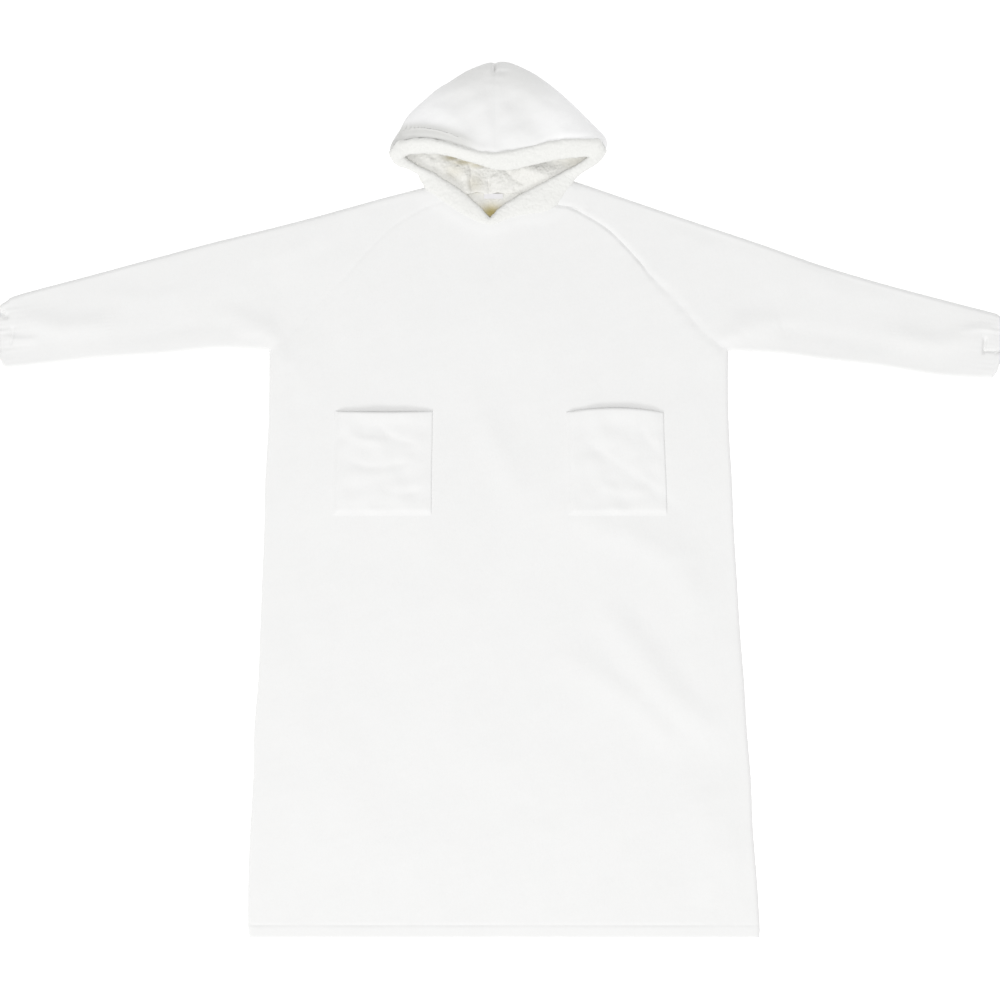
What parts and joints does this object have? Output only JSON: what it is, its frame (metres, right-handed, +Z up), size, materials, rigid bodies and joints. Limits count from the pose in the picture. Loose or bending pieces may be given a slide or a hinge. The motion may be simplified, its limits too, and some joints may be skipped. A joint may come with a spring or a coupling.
{
  "type": "wearable blanket hoodie",
  "caption": "Long oversized white plush hooded blanket garment with raglan sleeves, patch pockets and a cream sherpa-edged hood, laid flat with its front up.",
  "frame": {"origin": "centre of the garment's outline on the surface it lies on", "axes": "+X to the wearer's left, +Y from hem to crown, +Z up from the surface, out of the front"},
  "size_m": [1.6896, 1.4003, 0.045],
  "materials": {
    "plush": "matte",
    "sherpa": "matte",
    "label_tape": "satin"
  },
  "bodies": {
    "root": {"front_panel": "plush", "back_panel": "plush", "sleeve_right": "plush", "sleeve_left": "plush", "cuff_right": "plush", "cuff_left": "plush", "hood_right": "plush", "hood_left": "plush", "hood_trim": "sherpa", "hood_lining": "sherpa", "neck_lining": "sherpa", "neck_label": "label_tape", "pocket_right": "plush", "pocket_left": "plush"}
  },
  "joints": []
}
